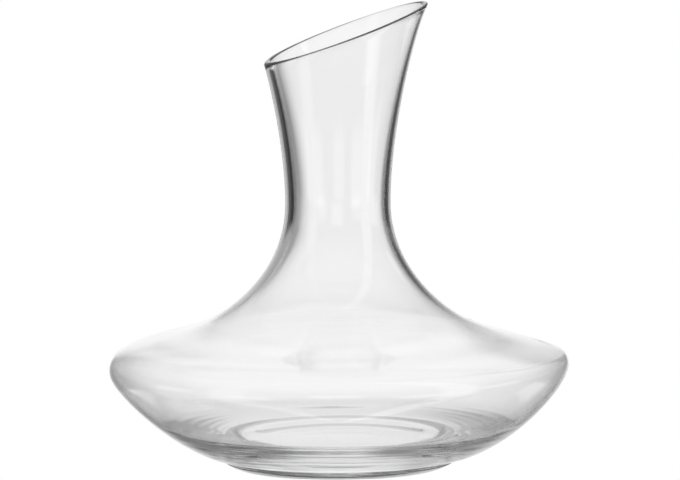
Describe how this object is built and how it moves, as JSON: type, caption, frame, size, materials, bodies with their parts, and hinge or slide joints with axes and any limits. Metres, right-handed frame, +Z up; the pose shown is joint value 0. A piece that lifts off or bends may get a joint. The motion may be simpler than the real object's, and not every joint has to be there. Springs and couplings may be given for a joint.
{
  "type": "wine decanter",
  "caption": "Clear glass wine decanter with a wide low bowl, a narrow waisted neck, a flared slanted mouth and a thin round foot.",
  "frame": {"origin": "centre of the flat ring that the foot stands on", "axes": "+Z up along the bowl's axis, +X towards the high side of the slanted mouth"},
  "size_m": [0.22, 0.22, 0.2231],
  "materials": {
    "clear_glass": "clear, fire-polished",
    "foot_glass": "clear, with a polished dish"
  },
  "bodies": {
    "root": {"vessel": "clear_glass", "foot": "foot_glass"}
  },
  "joints": []
}
